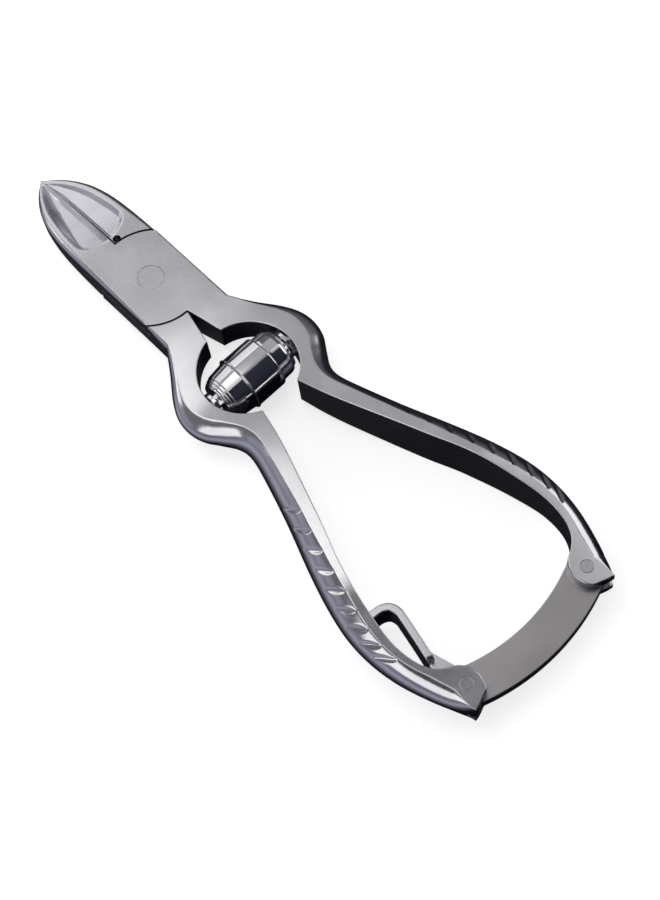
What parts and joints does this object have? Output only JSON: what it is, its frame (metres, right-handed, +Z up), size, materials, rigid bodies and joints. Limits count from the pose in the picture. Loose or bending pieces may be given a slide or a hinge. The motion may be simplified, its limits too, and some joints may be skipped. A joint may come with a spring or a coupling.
{
  "type": "nail nipper",
  "caption": "Heavy-duty nail nipper with lapped jaws, curved grip handles, a telescoping barrel spring between them, and a lock bar with a sprung catch lever across the handle ends.",
  "frame": {"origin": "bottom centre of the whole closed nipper, lying flat", "axes": "+X from the jaw tips to the handle ends, +Z up through the thickness, hinge pins along Z"},
  "size_m": [0.1386, 0.0466, 0.0115],
  "materials": {
    "forged_steel": "satin flats, polished outer sides",
    "plate_steel": "satin",
    "cup_steel": "polished",
    "spring_steel": "drawn wire"
  },
  "bodies": {
    "bottom": {"bottom_half": "forged_steel", "pivot_rivet": "plate_steel", "catch_pin": "plate_steel", "outer_stud": "forged_steel", "outer_hinge_pin": "plate_steel"},
    "top": {"top_half": "forged_steel", "lock_bar_rivet": "plate_steel", "inner_stud": "forged_steel", "inner_hinge_pin": "plate_steel"},
    "outer_barrel": {"outer_cup": "cup_steel", "sleeve": "cup_steel", "spring": "spring_steel"},
    "inner_barrel": {"inner_cup": "cup_steel"},
    "lock": {"lock_bar": "plate_steel"},
    "catch": {"catch_lever": "plate_steel"}
  },
  "joints": [
    {"name": "main_pivot", "type": "hinge", "parent": "bottom", "child": "top", "pos_m": [-0.0353, 0, 0.00575], "axis": [0, 0, 1], "range_deg": [0, 14], "deforming": ["spring"]},
    {"name": "outer_cup_tilt", "type": "hinge", "parent": "bottom", "child": "outer_barrel", "pos_m": [-0.008, -0.0067, 0.00575], "axis": [0, 0, 1], "range_deg": [0, 7]},
    {"name": "inner_cup_tilt", "type": "hinge", "parent": "top", "child": "inner_barrel", "pos_m": [-0.008, 0.0067, 0.00575], "axis": [0, 0, 1], "range_deg": [-7, 0]},
    {"name": "lock_swing", "type": "hinge", "parent": "top", "child": "lock", "pos_m": [0.0628, 0.01485, 0.00575], "axis": [0, 0, 1], "range_deg": [0, 80]},
    {"name": "catch_press", "type": "hinge", "parent": "bottom", "child": "catch", "pos_m": [0.0628, -0.01485, 0.00575], "axis": [0, 0, 1], "range_deg": [0, 5], "stiffness_Nm_per_rad": 0.4}
  ],
  "couplings": [
    {"joint": "outer_cup_tilt", "follows": "main_pivot", "ratio": 0.5},
    {"joint": "inner_cup_tilt", "follows": "main_pivot", "ratio": -0.5}
  ]
}
